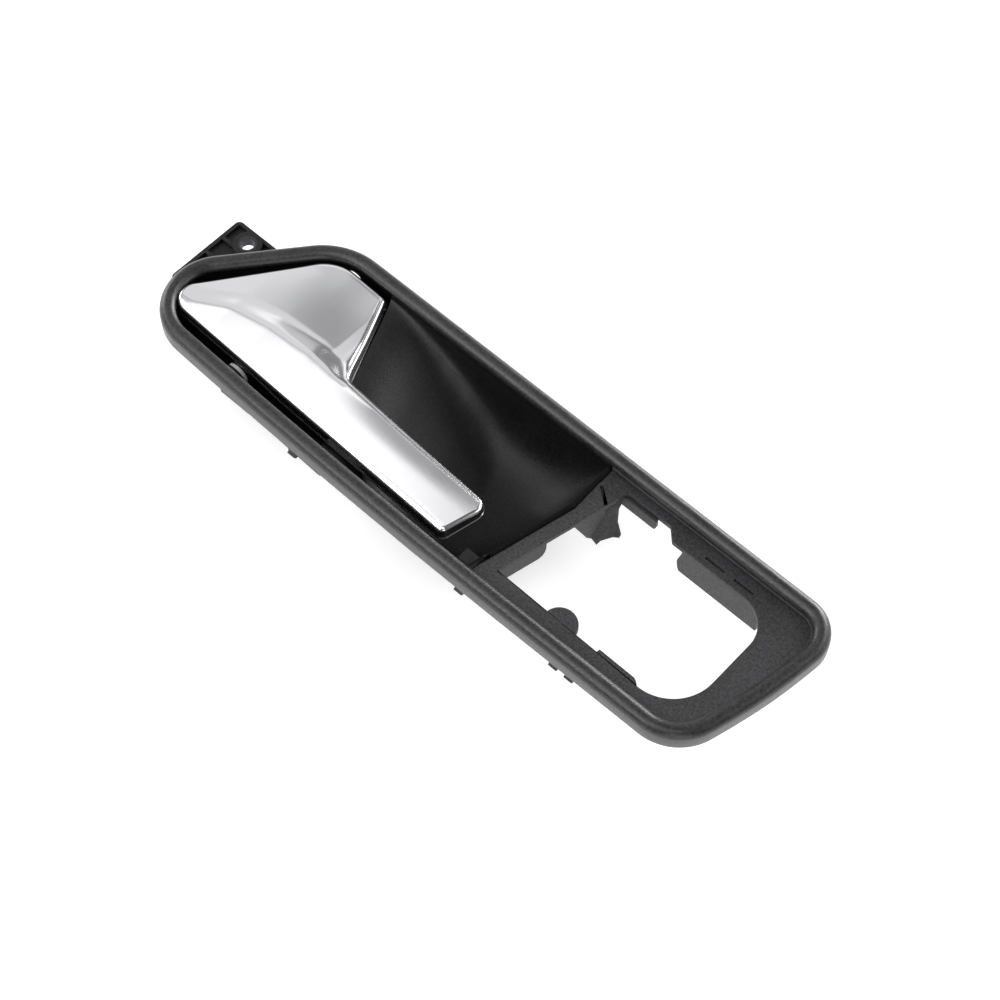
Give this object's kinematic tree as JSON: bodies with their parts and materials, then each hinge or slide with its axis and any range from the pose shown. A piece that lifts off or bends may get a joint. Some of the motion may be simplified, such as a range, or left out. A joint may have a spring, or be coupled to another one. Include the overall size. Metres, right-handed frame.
{
  "type": "car interior door handle",
  "caption": "Car interior door handle with a long soft-touch bezel, a finger bowl behind a sprung chrome pull lever, and a framed opening for a switch panel",
  "frame": {"origin": "middle of the bezel's rear edge, on the plane where it seats on the door panel", "axes": "+X along the bezel towards the switch opening, +Y up the door, +Z out of the panel towards the hand"},
  "size_m": [0.2739, 0.073, 0.0385],
  "materials": {
    "soft_touch_plastic": "soft-touch paint, satin",
    "grained_plastic": "fine grain, black",
    "satin_chrome": "satin chrome plate",
    "black_nylon": "glass-filled nylon",
    "zinc_steel": "bright zinc plate",
    "white_acetal": "natural acetal",
    "spring_steel": "drawn wire",
    "black_rubber": "moulded"
  },
  "bodies": {
    "housing": {"bezel_frame": "soft_touch_plastic", "handle_carrier": "grained_plastic", "pivot_pin": "zinc_steel", "pin_clip": "zinc_steel", "return_spring": "spring_steel", "rest_buffer": "black_rubber", "open_buffer": "black_rubber", "carrier_screws": "zinc_steel", "bracket_sleeve": "zinc_steel"},
    "lever": {"pull_lever": "satin_chrome", "lever_core": "black_nylon", "lever_screws": "zinc_steel", "lower_bush": "white_acetal", "upper_bush": "white_acetal"}
  },
  "joints": [
    {"name": "lever_hinge", "type": "hinge", "parent": "housing", "child": "lever", "pos_m": [-0.08947, 0, -0.004], "axis": [0, -1, 0], "range_deg": [0, 24], "stiffness_Nm_per_rad": 0.25, "springref_deg": -28.65, "deforming": ["return_spring"]}
  ]
}
